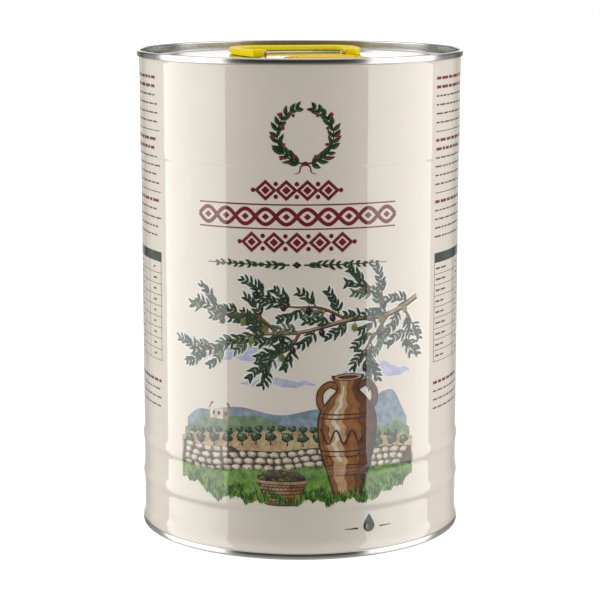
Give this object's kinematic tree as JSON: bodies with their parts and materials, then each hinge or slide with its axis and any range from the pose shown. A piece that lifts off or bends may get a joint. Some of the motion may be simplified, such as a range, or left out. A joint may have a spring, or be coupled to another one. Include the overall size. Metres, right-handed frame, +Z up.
{
  "type": "oil tin",
  "caption": "Round tin for olive oil, with a plastic handle that folds flat in the recessed lid and a pull-up pouring spout closed by a screw cap.",
  "frame": {"origin": "centre of the tin at the foot of the bottom seam, on the surface that the tin stands on", "axes": "+Z up along the tin's axis, -Y towards the printed front that the picture shows, +X to the right of it"},
  "size_m": [0.1678, 0.1678, 0.248],
  "materials": {
    "printed_tinplate": "gloss varnished print",
    "bright_tinplate": "bright rolled tinplate",
    "sealing_compound": "dull",
    "handle_plastic": "moulded, semi-gloss",
    "cap_plastic": "moulded, semi-gloss",
    "spout_plastic": "natural, waxy",
    "liner_foam": "foamed sheet"
  },
  "bodies": {
    "tin": {"body_shell": "printed_tinplate", "top_end": "bright_tinplate", "bottom_end": "bright_tinplate", "top_seam_compound": "sealing_compound", "bottom_seam_compound": "sealing_compound", "handle_bracket": "bright_tinplate", "crimp_ring": "bright_tinplate", "spout_gasket": "sealing_compound", "spout_base": "spout_plastic"},
    "handle": {"carry_handle": "handle_plastic"},
    "spout": {"spout_neck": "spout_plastic", "tear_seal": "spout_plastic", "tamper_band": "cap_plastic"},
    "cap_lift": {"cap_liner": "liner_foam"},
    "cap": {"screw_cap": "cap_plastic"},
    "bail_back": {"cap_bail_back": "cap_plastic"},
    "bail_front": {"cap_bail_front": "cap_plastic"}
  },
  "joints": [
    {"name": "handle_fold", "type": "hinge", "parent": "tin", "child": "handle", "pos_m": [0.0022, -0.0057, 0.24585], "axis": [0.9903, 0.1392, 0], "range_deg": [0, 90]},
    {"name": "spout_pull", "type": "slide", "parent": "tin", "child": "spout", "axis": [0, 0, 1], "range_m": [0, 0.022]},
    {"name": "cap_lift", "type": "slide", "parent": "spout", "child": "cap_lift", "axis": [0, 0, 1], "range_m": [0, 0.006]},
    {"name": "cap_turn", "type": "hinge", "parent": "cap_lift", "child": "cap", "pos_m": [0.0129, -0.04499, 0.2435], "axis": [0, 0, 1], "range_deg": [0, 720]},
    {"name": "bail_back_fold", "type": "hinge", "parent": "cap", "child": "bail_back", "pos_m": [0.01257, -0.04383, 0.246], "axis": [0.9613, 0.2756, 0], "range_deg": [0, 90]},
    {"name": "bail_front_fold", "type": "hinge", "parent": "cap", "child": "bail_front", "pos_m": [0.01323, -0.04614, 0.246], "axis": [-0.9613, -0.2756, 0], "range_deg": [0, 90]}
  ],
  "couplings": [
    {"joint": "cap_lift", "follows": "cap_turn", "m_per_rad": 0.00047746}
  ]
}
